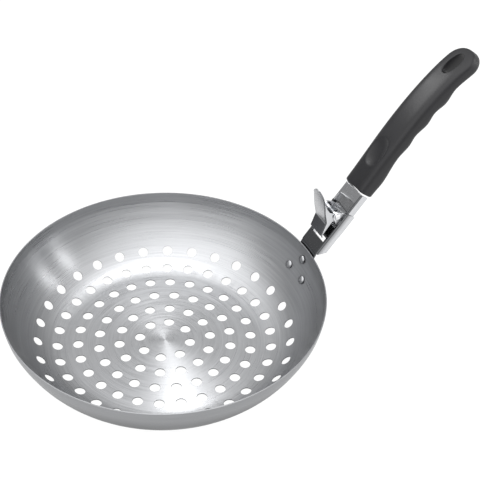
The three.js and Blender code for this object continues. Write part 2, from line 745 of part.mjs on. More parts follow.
const brushedSteel = new THREE.MeshStandardMaterial({ color: 0x9c9a98, roughness: 0.35, metalness: 1 });
const pressedSteel = new THREE.MeshStandardMaterial({ color: 0xb9bcc0, roughness: 0.22, metalness: 1 });
const rivetSteel = new THREE.MeshStandardMaterial({ color: 0xa8a8a8, roughness: 0.25, metalness: 1 });
const springSteel = new THREE.MeshStandardMaterial({ color: 0x7d8084, roughness: 0.3, metalness: 1 });
const blackPlastic = new THREE.MeshStandardMaterial({ color: 0x2b2b2d, roughness: 0.5, metalness: 0 });

function named(name, solid, material) {
  const mesh = new THREE.Mesh(geometryOf(solid), material);
  mesh.name = name;
  return mesh;
}

const wok = new THREE.Group();
wok.add(named('wok_bowl', bowl(), brushedSteel));
wok.add(named('wall_bracket', bracket(), pressedSteel));
for (const rivet of RIVETS) {
  wok.add(named(rivet.name, rivetSolid(rivet), rivetSteel));
}

const handle = new THREE.Group();
handle.position.copy(handleOrigin);
handle.rotation.copy(handleTurn);
handle.add(named('handle_channel', channel(), pressedSteel));
handle.add(named('latch_lever', lever(), pressedSteel));
handle.add(named('latch_pin', pin(), rivetSteel));
handle.add(named('latch_spring', spring(), springSteel));
handle.add(named('grip', grip(), blackPlastic));
wok.add(handle);

export default wok;
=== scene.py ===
"""Looks of the perforated grill wok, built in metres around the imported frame.

The bowl stands on the floor at the origin, and the handle leaves its rim along +X. The pieces'
sizes are in millimetres, and materials, lights and the camera are in metres.
"""
import math

import bmesh
import bpy
import numpy as np
from mathutils import Matrix


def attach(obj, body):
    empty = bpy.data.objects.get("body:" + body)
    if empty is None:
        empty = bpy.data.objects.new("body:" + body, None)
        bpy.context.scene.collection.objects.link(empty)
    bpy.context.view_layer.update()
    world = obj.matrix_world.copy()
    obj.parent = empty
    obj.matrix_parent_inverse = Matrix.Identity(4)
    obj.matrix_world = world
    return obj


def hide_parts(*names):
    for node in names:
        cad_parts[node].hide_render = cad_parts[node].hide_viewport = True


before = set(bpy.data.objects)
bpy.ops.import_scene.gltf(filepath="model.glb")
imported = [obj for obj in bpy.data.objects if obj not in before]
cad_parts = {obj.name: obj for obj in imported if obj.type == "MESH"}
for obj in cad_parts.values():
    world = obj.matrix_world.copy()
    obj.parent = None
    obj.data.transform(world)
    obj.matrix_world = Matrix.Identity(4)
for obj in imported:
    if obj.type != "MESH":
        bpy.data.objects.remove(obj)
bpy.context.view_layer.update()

# The bowl
# One thin sheet of stainless steel, pressed to a flat floor, a tight corner and a taller curved wall
# up to a plain cut rim, and brushed in rings. Six rings of round draining holes are punched in it.

MM = 0.001
SHEET, SHEET_BEVEL = 1.0, 0.14
RIM_R, DEPTH = 150.0, 61.8
RIM_Z = SHEET / 2 + DEPTH
FLOOR_R, CORNER_R, CORNER_TURN = 90.0, 49.0, math.radians(45)
RIM_LINE, RIM_LINE_HALF = 10.5, 0.7  # the faint line pressed below the rim
RIM_BAND = ((-22.0, -RIM_LINE, 0.0), (0.0, 0.3, -0.45))  # places before the rim, and how far outwards
HOLE_R = 5.0
HOLE_RINGS = (
    # radius, count, first angle in degrees
    (119.4, 30, 5.1), (101.6, 30, 5.1), (82.2, 26, 7.4), (62.8, 20, 4.0), (43.4, 14, 9.0), (24.0, 8, 12.0),
)
WALL_SIDES, FLOOR_SIDES = (8, 6), (6, 6)  # points on the sides of a hole's cell: across, and down
CELL_STEPS = (0.0, 0.06, 0.2, 0.45, 0.72, 1.0)  # loops of a cell, from its hole to its border
TOP_CELL_ABOVE, SECOND_CELL_FROM = 9.5, 89.2
CELL_BELOW, CELL_ABOVE = 6.6, 6.2
# A darker colour painted as shade: on the bowl's outside foot and on shaded places of the pressed steel.
PAINTED_SHADE = "5e5f61"

corner_length = CORNER_R * CORNER_TURN
foot_r = FLOOR_R + CORNER_R * math.sin(CORNER_TURN)
foot_z = SHEET / 2 + CORNER_R * (1 - math.cos(CORNER_TURN))
wall_chord = math.hypot(RIM_R - foot_r, RIM_Z - foot_z)
wall_turn = math.atan2(RIM_Z - foot_z, RIM_R - foot_r) - CORNER_TURN
wall_r = wall_chord / (2 * math.sin(wall_turn))
rim_along = FLOOR_R + corner_length + 2 * wall_turn * wall_r


def linear(hex_colour):
    """Linear RGBA of an sRGB colour such as "8a8c90"."""
    channels = [int(hex_colour[i:i + 2], 16) / 255 for i in (0, 2, 4)]
    curve = [c / 12.92 if c <= 0.04045 else ((c + 0.055) / 1.055) ** 2.4 for c in channels]
    return (*curve, 1.0)


def set_inputs(tree, node, **inputs):
    """Sets a node's inputs to plain values or links them to sockets; i0 is its first input."""
    for key, value in inputs.items():
        at = int(key[1:]) if key[0] == "i" and key[1:].isdigit() else key.replace("_", " ")
        if isinstance(value, bpy.types.NodeSocket):
            tree.links.new(value, node.inputs[at])
        else:
            node.inputs[at].default_value = value


def add_node(tree, kind, settings=None, **inputs):
    """A new shader node with its settings and its inputs."""
    node = tree.nodes.new("ShaderNode" + kind)
    for key, value in (settings or {}).items():
        setattr(node, key, value)
    set_inputs(tree, node, **inputs)
    return node


def maths(tree, operation, first, second):
    """The result of one Math node."""
    return add_node(tree, "Math", {"operation": operation}, i0=first, i1=second).outputs[0]


def vector_maths(tree, operation, result="Vector", **inputs):
    """One result of a Vector Math node: its vector or its value."""
    return add_node(tree, "VectorMath", {"operation": operation}, **inputs).outputs[result]


def mapped(tree, value, limits, results=(0.0, 1.0)):
    """A value carried from its limits to the results in a straight line, and held at both ends."""
    low, high = limits
    at_low, at_high = results
    return add_node(tree, "MapRange", i0=value, i1=low, i2=high, i3=at_low, i4=at_high).outputs[0]


def noise(tree, place, scale, detail, roughness=0.5):
    """The value of a noise texture at a place."""
    return add_node(
        tree, "TexNoise", Vector=place, Scale=scale, Detail=detail, Roughness=roughness
    ).outputs[0]


def mixed(tree, share, low, high):
    """A colour between two others, each a linear colour or a socket."""
    return add_node(tree, "Mix", {"data_type": "RGBA"}, Factor=share, i6=low, i7=high).outputs[2]


def relief(tree, height, strength, distance):
    """The normal of fine relief; distance is its depth in metres."""
    return add_node(tree, "Bump", Strength=strength, Distance=distance, Height=height).outputs[0]


def new_material(name):
    """A new material, its node tree and its Principled shader."""
    material = bpy.data.materials.new(name)
    material.use_nodes = True
    return material, material.node_tree, material.node_tree.nodes["Principled BSDF"]


def bowl_steel(name, light, dark, rough, painted_foot_shade=None):
    """Steel brushed round the bowl's axis.

    Its rings are noise that changes fast with the sum of radius and height, and slowly round the
    axis. They mix the dark and the light colour, and with faint clouds they set the roughness.
    The foot colour is painted shade on the lowest part, which fades out up the wall. The gloss is radial."""
    ring_rate, round_rate, wide_share = 1500.0, 0.9, (2.0, 2.0, 0.22)
    ring_contrast, foot_shade_fade = (0.26, 0.74), (0.031, 0.053)
    material, tree, shader = new_material(name)
    place = add_node(tree, "TexCoord").outputs["Object"]
    flat = vector_maths(tree, "MULTIPLY", i0=place, i1=(1, 1, 0))
    away = vector_maths(tree, "NORMALIZE", i0=flat)
    reach = vector_maths(tree, "LENGTH", "Value", i0=flat)
    height = add_node(tree, "SeparateXYZ", i0=place).outputs[2]
    along = maths(tree, "ADD", reach, height)
    slow = vector_maths(tree, "SCALE", i0=away, Scale=round_rate)
    fast = add_node(tree, "CombineXYZ", i2=maths(tree, "MULTIPLY", along, ring_rate)).outputs[0]
    rings_at = vector_maths(tree, "ADD", i0=slow, i1=fast)
    wide_at = vector_maths(tree, "MULTIPLY", i0=rings_at, i1=wide_share)
    fine = noise(tree, rings_at, scale=1.0, detail=4.0, roughness=0.6)
    wide = noise(tree, wide_at, scale=1.0, detail=3.0, roughness=0.7)
    rings = maths(tree, "MULTIPLY", maths(tree, "ADD", fine, wide), 0.5)
    rings = mapped(tree, rings, ring_contrast)
    clouds = noise(tree, place, scale=14.0, detail=2.0)
    colour = mixed(tree, rings, linear(dark), linear(light))
    # Painted shade: darker towards the bottom, fading out between 31 and 53 mm up.
    if painted_foot_shade:
        colour = mixed(tree, mapped(tree, height, foot_shade_fade), linear(painted_foot_shade), colour)
    uneven = mapped(tree, maths(tree, "ADD", rings, clouds), (0.6, 1.4), rough)
    normal = relief(tree, rings, strength=0.12, distance=0.0002)
    set_inputs(
        tree, shader, Base_Color=colour, Roughness=uneven, Normal=normal, Tangent=away,
        Metallic=1.0, Anisotropic=0.75)
    return material


STEEL_INSIDE = bowl_steel("bowl_steel", light="a9aaac", dark="8b8c8e", rough=(0.24, 0.36))
# The outside copy is rougher than the inside, and its light colour is darker as painted shade; its foot gets
# painted shade too.
STEEL_OUTSIDE = bowl_steel("bowl_steel_outside", light="9d9ea0", dark="8b8c8e", rough=(0.3, 0.42), painted_foot_shade=PAINTED_SHADE)


def grid_faces(rows, columns, keep=None, wrap=False):
    """Quads of a grid of points, row by row, with only the cells that keep marks."""
    i, j = np.meshgrid(np.arange(rows - 1), np.arange(columns if wrap else columns - 1), indexing="ij")
    a = i * columns + j
    b = i * columns + (j + 1) % columns
    quads = np.stack([a, b, b + columns, a + columns], axis=-1)
    return quads[keep] if keep is not None else quads.reshape(-1, 4)


def new_piece(name, points, faces, body, slot, material, sharp=40, weld=None, painted_shade=None):
    """A mesh object at the origin from points in millimetres, that rides on a body.

    Points within weld of each other are joined, and edges bent by more than sharp degrees look
    crisp. Each point may get a share of painted shade, a darker colour that pressed steel mixes in."""
    mesh = bpy.data.meshes.new(name)
    mesh.from_pydata(np.asarray(points, float) * MM, [], [list(map(int, face)) for face in faces])
    if painted_shade is not None:
        shares = mesh.attributes.new("painted_shade", "FLOAT", "POINT")
        shares.data.foreach_set("value", np.asarray(painted_shade, float).ravel())
    model = bmesh.new()
    model.from_mesh(mesh)
    if weld:
        bmesh.ops.remove_doubles(model, verts=model.verts, dist=weld * MM)
    loose = [vert for vert in model.verts if not vert.link_faces]
    bmesh.ops.delete(model, geom=loose, context="VERTS")
    bmesh.ops.recalc_face_normals(model, faces=model.faces)
    model.to_mesh(mesh)
    model.free()
    mesh.materials.append(material)
    mesh.shade_smooth()
    piece = bpy.data.objects.new(name, mesh)
    bpy.context.scene.collection.objects.link(piece)
    if sharp:
        mesh.set_sharp_from_angle(angle=math.radians(sharp))
    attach(piece, body)
    return piece


def add_sheet(piece, thickness, bevel, offset=-1.0):
    """Gives a surface its sheet thickness and rounds the cut edges."""
    solid = piece.modifiers.new("sheet", "SOLIDIFY")
    solid.thickness = thickness * MM
    solid.offset = offset
    solid.use_even_offset = True
    edges = piece.modifiers.new("edges", "BEVEL")
    edges.width = bevel * MM
    edges.segments = 2
    edges.limit_method = "ANGLE"
    edges.angle_limit = math.radians(50)
    edges.harden_normals = True
    return solid


def profile(along):
    """Radius and height of the sheet's middle surface at a distance along it from the centre.

    A straight floor, then an arc of the corner's radius, then the wall's arc. The rim's band moves
    the point off these along the outward normal."""
    turn = np.clip((along - FLOOR_R) / CORNER_R, 0, CORNER_TURN)
    more = np.clip((along - FLOOR_R - corner_length) / wall_r, 0, None)
    r = np.minimum(along, FLOOR_R) + CORNER_R * np.sin(turn)
    r = r + wall_r * (np.sin(CORNER_TURN + more) - math.sin(CORNER_TURN))
    z = SHEET / 2 + CORNER_R * (1 - np.cos(turn))
    z = z + wall_r * (math.cos(CORNER_TURN) - np.cos(CORNER_TURN + more))
    out = np.interp(along - rim_along, *RIM_BAND)
    return r + out * np.sin(turn + more), z - out * np.cos(turn + more)


def on_bowl(along, angle):
    """Points of the middle surface at distances along it and angles round it."""
    r, z = profile(along)
    return np.stack([r * np.cos(angle), r * np.sin(angle), z + 0 * angle], axis=-1)


def along_of_radius(radius):
    """Distance along the sheet of a radius on the floor or the corner."""
    return radius if radius <= FLOOR_R else FLOOR_R + CORNER_R * math.asin((radius - FLOOR_R) / CORNER_R)


def hole_cells(ring, low, high, sides):
    """Points and faces of one ring of cells, each with a round hole in its middle.

    A cell is a sector between two circles. Its loops run from the hole's circle to the cell's
    border: border points go round the sector, and each loop is a blend of the two."""
    radius, count, first = ring
    middle = along_of_radius(radius)
    across, down = sides
    side_a = np.linspace(-1, 1, across + 1)[:-1]
    side_b = np.linspace(-1, 1, down + 1)[:-1]
    border = np.concatenate([
        np.stack([side_a, np.full(across, -1.0)], 1), np.stack([np.full(down, 1.0), side_b], 1),
        np.stack([-side_a, np.full(across, 1.0)], 1), np.stack([np.full(down, -1.0), -side_b], 1),
    ])
    at_angle = border[:, 0] * math.pi / count
    at_along = middle + border[:, 1] * np.where(border[:, 1] < 0, middle - low, high - middle)
    turn = np.arctan2(at_along - middle, at_angle * radius)
    hole_angle = HOLE_R * np.cos(turn) / radius
    hole_along = middle + HOLE_R * np.sin(turn)
    steps = np.array(CELL_STEPS)[:, None]
    angle = hole_angle + steps * (at_angle - hole_angle)
    along = hole_along + steps * (at_along - hole_along)
    cells = math.radians(first) + 2 * math.pi * np.arange(count)[:, None, None] / count
    points = on_bowl(np.broadcast_to(along, (count, *along.shape)), angle + cells)
    faces = grid_faces(len(steps), len(border), wrap=True)
    offsets = np.arange(count)[:, None, None] * (len(steps) * len(border))
    return points.reshape(-1, 3), (faces + offsets).reshape(-1, 4)


def border_angles(ring, across):
    """Angles of the points that a ring of cells has on its two border circles."""
    _, count, first = ring
    points = count * across
    return math.radians(first) - math.pi / count + 2 * math.pi * np.arange(points) / points


def border_circle(ring, along, across):
    """The points that a ring of cells has on the border circle at a distance along the sheet."""
    angles = border_angles(ring, across)
    return on_bowl(np.full(len(angles), float(along)), angles)


def ring_strip(alongs, angles):
    """Points and faces of a plain band: one circle of points at each distance."""
    points = on_bowl(np.repeat(alongs[:, None], len(angles), 1), np.repeat(angles[None], len(alongs), 0))
    return points.reshape(-1, 3), grid_faces(len(alongs), len(angles), wrap=True)


def zipper(inner, outer):
    """Triangles between two circles of points with different counts, in order of angle."""
    n, m = len(inner), len(outer)
    first = np.arctan2(inner[0, 1], inner[0, 0])
    outer_angle = np.unwrap(np.arctan2(outer[:, 1], outer[:, 0]))
    start = np.argmin(np.abs((outer_angle - first + math.pi) % (2 * math.pi) - math.pi))
    outer_order = (start + np.arange(m + 1)) % m
    inner_turn = first + 2 * math.pi * np.arange(n + 1) / n
    outer_turn = first + 2 * math.pi * np.arange(m + 1) / m
    i = j = 0
    faces = []
    while i < n or j < m:
        if j == m or (i < n and inner_turn[i + 1] <= outer_turn[j + 1]):
            faces.append((i % n, n + outer_order[j], (i + 1) % n))
            i += 1
        else:
            faces.append((i % n, n + outer_order[j], n + outer_order[j + 1]))
            j += 1
    return np.concatenate([inner, outer]), faces


def bowl_mesh():
    """All bands of the middle surface: two rings of cells, the wall, four more rings and the middle.

    The inner rings of cells are joined by zips, and a fan of triangles closes the middle."""
    along = [along_of_radius(ring[0]) for ring in HOLE_RINGS]
    split = (along[0] + along[1]) / 2
    wall_from = along[0] + TOP_CELL_ABOVE
    line = rim_along - RIM_LINE + RIM_LINE_HALF * np.array([-1.0, 0.0, 1.0])
    wall = np.concatenate([
        np.linspace(wall_from, line[0], 20)[:-1], line, np.linspace(line[-1], rim_along, 8)[1:]
    ])
    parts = [
        hole_cells(HOLE_RINGS[0], split, wall_from, WALL_SIDES),
        hole_cells(HOLE_RINGS[1], SECOND_CELL_FROM, split, WALL_SIDES),
        ring_strip(wall, border_angles(HOLE_RINGS[0], WALL_SIDES[0])),
    ]
    upper = border_circle(HOLE_RINGS[1], SECOND_CELL_FROM, WALL_SIDES[0])
    for ring, here in zip(HOLE_RINGS[2:], along[2:]):
        low, high = here - CELL_BELOW, here + CELL_ABOVE
        parts.append(hole_cells(ring, low, high, FLOOR_SIDES))
        parts.append(zipper(border_circle(ring, high, FLOOR_SIDES[0]), upper))
        upper = border_circle(ring, low, FLOOR_SIDES[0])
    fan = [(k, (k + 1) % len(upper), len(upper)) for k in range(len(upper))]
    parts.append((np.concatenate([upper, [[0, 0, SHEET / 2]]]), fan))
    points, faces, count = [], [], 0
    for part_points, part_faces in parts:
        points.append(part_points)
        faces += [tuple(int(v) + count for v in face) for face in part_faces]
        count += len(part_points)
    return np.concatenate(points), faces


bowl = new_piece("bowl_sheet", *bowl_mesh(), "bowl", "bowl_steel", STEEL_OUTSIDE, sharp=None, weld=0.01)
bowl.data.materials.append(STEEL_INSIDE)
add_sheet(bowl, SHEET, SHEET_BEVEL, offset=0.0).material_offset = 1
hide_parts("wok_bowl")

# The wall bracket
# One sheet of smooth steel, bent to a pad riveted outside the wall, a neck over the rim and a
# C-shaped rail that opens downwards. A slot for the latch and an open notch are cut in its top.

# The handle's own axes are u out along the rail, v off its top plate and w to its left.
HANDLE_TILT = 51.5
HANDLE_ORIGIN = np.array([RIM_R + SHEET / 2, 0.0, RIM_Z])
ALONG = np.array([math.cos(math.radians(HANDLE_TILT)), 0.0, math.sin(math.radians(HANDLE_TILT))])
UP = np.array([-ALONG[2], 0.0, ALONG[0]])
GAP = 0.3  # clearance between sheets that lie on each other
RAIL_SHEET, RAIL_BEVEL, RAIL_END = 1.6, 0.3, 53.0
RAIL_HALF, RAIL_H, RAIL_EDGE, RAIL_LIP, LIP_ROUND, LIP_START = 14.6, 10.8, 1.6, 4.4, 1.2, 25.0
SIDE_START, SIDE_RAKE = 3.5, 6.3  # where the sides start at the top, and how much later at the bottom
SLOT, SLOT_HALF, NOTCH, NOTCH_HALF = (16.3, 21.2), 11.0, 34.5, 11.4
RAIL_STATIONS = (
    2.6, SIDE_START, 4.6, 6.4, 9.0, 12.5, SLOT[0], 18.7, SLOT[1], LIP_START, 30.0, NOTCH, 40.0, 46.0,
    RAIL_END,
)
PAD_HALF, PAD_ROUND = 19.0, 8.0
# Depths below the rim: the pad's lower edge, its straight sides, its shoulders and its upper end.
PAD_LOW, PAD_SIDE_LOW, PAD_SIDE_TOP, PAD_SHOULDER, PAD_FALL, PAD_TOP = 37.0, 27.0, 13.0, 11.4, 7.75, 2.2
NECK_CROWN = np.array([0.35, 0.0, 0.5])
BRACKET_PAINTED_SHADE = (2.4, 1.0)  # depths below the top at which the painted shade starts and is full


def pressed_steel(name, light, dark, rough):
    """Rolled steel: faint clouds mix two colours, and fine scratches drawn along the handle set the
    roughness. A point attribute mixes in a darker colour as painted shade."""
    scratch_rate = (60.0, 900.0, 900.0)
    material, tree, shader = new_material(name)
    place = add_node(tree, "TexCoord").outputs["Object"]
    tilt = (0.0, math.radians(HANDLE_TILT), 0.0)
    stretched = add_node(tree, "Mapping", Vector=place, Rotation=tilt, Scale=scratch_rate).outputs[0]
    drawn = noise(tree, stretched, scale=1.0, detail=3.0)
    clouds = noise(tree, place, scale=90.0, detail=2.0)
    # Each point's share of painted shade.
    painted_shade = add_node(tree, "Attribute", {"attribute_name": "painted_shade"}).outputs["Fac"]
    colour = mixed(tree, clouds, linear(dark), linear(light))
    set_inputs(
        tree, shader, Base_Color=mixed(tree, painted_shade, colour, linear(PAINTED_SHADE)), Metallic=1.0,
        Roughness=mapped(tree, drawn, (0.3, 0.7), rough),
        Normal=relief(tree, drawn, strength=0.05, distance=0.0001))
    return material


STEEL_PRESSED = pressed_steel("pressed_steel", light="d4d5d7", dark="c6c7ca", rough=(0.16, 0.28))


def on_handle(u, v, w):
    """Points given in the handle's own axes, in the object's axes."""
    u, v, w = np.broadcast_arrays(*(np.asarray(a, float) for a in (u, v, w)))
    across = np.stack([0 * w, w, 0 * w], axis=-1)
    return HANDLE_ORIGIN + u[..., None] * ALONG + v[..., None] * UP + across


def on_wall(drop):
    """Radius and slope of the wall's middle surface at a depth below the rim, from the wall's arc."""
    slope = np.arccos(math.cos(CORNER_TURN) - (RIM_Z - drop - foot_z) / wall_r)
    return foot_r + wall_r * (np.sin(slope) - math.sin(CORNER_TURN)), slope


def arc(centre, radius, start, end, steps):
    """Points of an arc between two angles in degrees."""
    turn = np.radians(np.linspace(start, end, steps))
    return np.stack([centre[0] + radius * np.cos(turn), centre[1] + radius * np.sin(turn)], 1)


def mirrored(half):
    """A section from its left edge (w > 0) to the middle, and on to its right edge."""
    return np.concatenate([half, half[-2::-1] * np.array([-1.0, 1.0])])


def smooth_step(share):
    """The usual cubic from 0 to 1, 3x² - 2x³, held at both ends."""
    share = np.clip(share, 0, 1)
    return share * share * (3 - 2 * share)


def cut_cells(keep, u, first_row, from_u, to_u, columns):
    """Leaves out a grid's cells in some columns, between two stations along the handle."""
    rows = [first_row + k for k in range(len(u) - 1) if u[k] >= from_u and u[k + 1] <= to_u]
    keep[np.ix_(rows, columns)] = False


def pressed_piece(name, mesh, body, thickness, bevel, weld=None):
    """A piece of pressed sheet, from a mesh's points, faces and shares of painted shade."""
    points, faces, painted_shade = mesh
    piece = new_piece(name, points, faces, body, "pressed_steel", STEEL_PRESSED, weld=weld, painted_shade=painted_shade)
    add_sheet(piece, thickness, bevel)
    return piece


def bracket_mesh():
    """Rows run up the pad, over the neck and out along the rail; columns run across the section.

    The pad lies a gap off the wall's arc, as wide as its rounded outline. The neck is a curve with
    one control point. The rail is its section carried straight out; lower down its stations are
    pressed together towards the end, so that the sides start later there."""
    flat = RAIL_HALF - RAIL_EDGE
    section = mirrored(np.concatenate([
        [[RAIL_HALF - RAIL_LIP, -RAIL_H], [RAIL_HALF - 2 * LIP_ROUND, -RAIL_H]],
        arc((RAIL_HALF - LIP_ROUND, LIP_ROUND - RAIL_H), LIP_ROUND, 270, 360, 5),
        [[RAIL_HALF, -6.0]],
        arc((flat, -RAIL_EDGE), RAIL_EDGE, 0, 90, 6),
        [[NOTCH_HALF, 0.0], [SLOT_HALF, 0.0], [8.0, 0.0], [4.0, 0.0], [0.0, 0.0]],
    ]))
    w, v = section.T
    on_top = (v == 0) & (np.abs(w) <= flat + 1e-9)

    u = np.array(RAIL_STATIONS)
    start = SIDE_START + np.clip((-RAIL_EDGE - v) / (RAIL_H - RAIL_EDGE), 0, 1) * SIDE_RAKE
    raked = start + (u[:, None] - SIDE_START) / (RAIL_END - SIDE_START) * (RAIL_END - start)
    rail_u = np.where(on_top[None] | (u[:, None] < SIDE_START), u[:, None], raked)
    rail = on_handle(rail_u, v[None], w[None])

    turn = np.linspace(0, math.pi / 2, 9)
    drop = np.concatenate([
        PAD_LOW - PAD_ROUND * (1 - np.cos(turn)), np.linspace(PAD_SIDE_LOW, PAD_SIDE_TOP, 6),
        PAD_SHOULDER - PAD_FALL * np.sin(turn), [PAD_TOP],
    ])
    past = np.maximum(drop - PAD_LOW + PAD_ROUND, 0) + np.maximum(PAD_SHOULDER - drop, 0)
    wide = PAD_HALF - PAD_ROUND + np.sqrt(np.maximum(PAD_ROUND ** 2 - past ** 2, 0))
    pad_w = np.clip(w / flat, -1, 1)[None] * np.maximum(wide, flat)[:, None]
    wall, slope = on_wall(drop)
    out = SHEET / 2 + GAP
    pad_r = wall + out * np.sin(slope)
    pad_z = RIM_Z - drop - out * np.cos(slope)
    pad = np.stack([np.sqrt(pad_r[:, None] ** 2 - pad_w ** 2), pad_w, pad_z[:, None] + 0 * pad_w], axis=-1)

    share = np.linspace(0, 1, 6)[1:-1, None, None]
    knee = (pad[-1] + rail[0]) / 2 + NECK_CROWN
    neck = (1 - share) ** 2 * pad[-1] + 2 * share * (1 - share) * knee + share ** 2 * rail[0]

    points = np.concatenate([pad, neck, rail])
    rail_row = len(pad) + len(neck)
    keep = np.ones((len(points) - 1, len(w) - 1), bool)
    # The pad and the neck carry on only the flat of the rail's top, and have no sides.
    side = ~(on_top[:-1] & on_top[1:])
    keep[:rail_row + 1, side] = False
    for half_w, from_u, to_u in ((SLOT_HALF, *SLOT), (NOTCH_HALF, NOTCH, RAIL_END)):
        inner = (np.abs(w[:-1]) < half_w + 0.01) & (np.abs(w[1:]) < half_w + 0.01) & ~side
        cut_cells(keep, u, rail_row, from_u, to_u, inner)
    lip = (v[:-1] < RAIL_EDGE - RAIL_H) & (v[1:] < RAIL_EDGE - RAIL_H)
    cut_cells(keep, u, rail_row, u[0], LIP_START, lip)
    # Painted shade darkens the top, from the pad's last rows on.
    painted_shade_from, painted_shade_full = BRACKET_PAINTED_SHADE
    painted_shade = smooth_step((v + painted_shade_from) / (painted_shade_from - painted_shade_full))
    painted_shade = painted_shade[None] * (np.arange(len(points)) > len(pad) - 3)[:, None]
    return points.reshape(-1, 3), grid_faces(len(points), len(w), keep), painted_shade


bracket = pressed_piece("bracket_sheet", bracket_mesh(), "bowl", RAIL_SHEET, RAIL_BEVEL, weld=0.01)
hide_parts("wall_bracket")

# The rivets
# Three solid steel rivets that hold the pad to the wall, with a low domed head on both sides.

RIVETS = (("left", 12.8, 26.4), ("right", -12.8, 26.4), ("top", 0.0, 12.8))  # across, and below the rim
RIVET_R, RIVET_HEAD_R, RIVET_HEAD_H = 2.2, 4.2, 2.0
RIVET_INSIDE, RIVET_OUTSIDE = SHEET / 2 + 2 * GAP, -(SHEET / 2 + 3 * GAP + RAIL_SHEET)
POLE_R = 0.01  # radius at which a turned outline ends, small enough for welding
STEEL_RIVET = pressed_steel("rivet_steel", light="a2a3a5", dark="8b8c8e", rough=(0.24, 0.34))


def turned_mesh(outline, sides=40):
    """Points and faces of an outline of radii and heights turned round z."""
    turn = 2 * math.pi * np.arange(sides) / sides
    points = np.stack([
        outline[:, :1] * np.cos(turn), outline[:, :1] * np.sin(turn), outline[:, 1:] + 0 * turn
    ], axis=-1)
    return points.reshape(-1, 3), grid_faces(len(outline), sides, wrap=True)


def rivet_head(base, way):
    """Outline of a domed head from its foot to its top: a quarter of an ellipse."""
    turn = np.linspace(0, math.pi / 2, 8)
    return np.stack([
        np.maximum(RIVET_HEAD_R * np.cos(turn), POLE_R), base + way * RIVET_HEAD_H * np.sin(turn)
    ], 1)


rivet_outline = np.concatenate([
    rivet_head(RIVET_OUTSIDE, -1)[::-1], [[RIVET_R, RIVET_OUTSIDE], [RIVET_R, RIVET_INSIDE]],
    rivet_head(RIVET_INSIDE, 1),
])
for label, side, drop in RIVETS:
    wall, slope = on_wall(drop)
    lean_cos, lean_sin = math.cos(slope), math.sin(slope)
    lean = np.array([[lean_cos, 0, lean_sin], [0, 1, 0], [-lean_sin, 0, lean_cos]])
    angle = math.asin(side / wall)
    spin_cos, spin_sin = math.cos(angle), math.sin(angle)
    spin = np.array([[spin_cos, spin_sin, 0], [-spin_sin, spin_cos, 0], [0, 0, 1]])
    points, faces = turned_mesh(rivet_outline)
    points = (points @ lean + np.array([wall, 0, RIM_Z - drop])) @ spin
    rivet = new_piece("rivet_" + label, points, faces, "bowl", "rivet_steel", STEEL_RIVET, weld=0.02)
    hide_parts("bracket_rivet_" + label)

# The latch pin
# A turned steel cross pin through the handle's two ears, with a domed head at both ends.

PIN_U, PIN_V, PIN_R, PIN_HALF = 45.5, 5.0, 2.0, 11.2
PIN_HEAD = np.array([[POLE_R, 1.5], [1.4, 1.4], [2.6, 1.0], [3.2, 0.5], [3.3, 0.0]])  # radii, and heights
STEEL_SATIN = pressed_steel("satin_steel", light="ebecee", dark="dfe0e2", rough=(0.32, 0.42))

points, faces = turned_mesh(np.concatenate([
    PIN_HEAD * [1, -1] - [0, PIN_HALF], [[PIN_R, -PIN_HALF], [PIN_R, PIN_HALF]],
    PIN_HEAD[::-1] + [0, PIN_HALF],
]))
points = on_handle(PIN_U + points[:, 0], PIN_V + points[:, 1], points[:, 2])
pin = new_piece("pin_turned", points, faces, "handle", "pressed_steel", STEEL_SATIN, weld=0.02)
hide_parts("latch_pin")

# The handle channel
# Pressed from one sheet of steel: a U-shaped channel that leaves the grip, a top that sinks between
# its walls, and a narrower tongue with two ears that slides inside the rail.

CHANNEL_HALF, CHANNEL_H, CHANNEL_SHEET, CHANNEL_BEVEL = 13.8, 8.5, 1.3, 0.25
TOP_EDGE = 1.0  # radius between a wall and the top
STEP, STEP_RISE, STEP_SKEW = 63.5, 0.5, 0.17
TONGUE_STEP, TONGUE_STEP_RISE, TONGUE_STEP_SKEW = 48.2, 0.3, 0.137
LEAN_W = 24.0  # width over which the sunk floor leans
RIDGE_H, RIDGE_L, RIDGE_OFF = 0.4, 0.5, 0.6  # a ridge's height and length, and its place past a step
STEP_RIDGE_GAIN, STEP_RIDGE_LOSS = 2.2, 0.45  # the first ridge's share, from that of the lean
TONGUE_RIDGE_TO, TONGUE_RIDGE_FADE = 7.0, 3.0  # where the second ridge ends at the left
CHANNEL_STATIONS = (
    53.4, 54.6, 57.0, 60.0, 62.4, 62.9, 63.0, 63.1, 63.4, STEP, 63.7, 63.9, 64.1, 64.3, 64.5, 64.8, 65.2,
    67.0, 71.0, 75.5,
)
CHANNEL_COLUMNS = (12.6, 12.3, 12.0, 11.6, 11.4, 8.0, 4.0, 0.0)
CHANNEL_SINK = ((11.4, 11.6, 12.0), (1.0, 0.06, 0.0))  # places to each side, and shares of the sinking
CHANNEL_SKEWED = ((57.0, 60.0, 62.4, 65.2, 67.0, 71.0), (0.0, 0.6, 1.0, 1.0, 0.7, 0.0))
TONGUE_HALF, TONGUE_TOP, TONGUE_BOTTOM = 12.4, -2.6, -8.8
WINDOW, WINDOW_HALF = (14.5, 26.5), 10.9
TONGUE_STATIONS = (
    5.0, 9.0, WINDOW[0], 18.0, 22.0, WINDOW[1], 32.0, 40.0, 45.0, 47.8, 47.9, 48.0, 48.1, TONGUE_STEP,
    48.4, 48.6, 48.8, 49.0, 49.2, 49.5, 50.0, 51.0, 54.6,
)
TONGUE_SKEWED = ((40.0, 45.0, 47.8, 50.0, 54.6), (0.0, 0.6, 1.0, 1.0, 0.0))
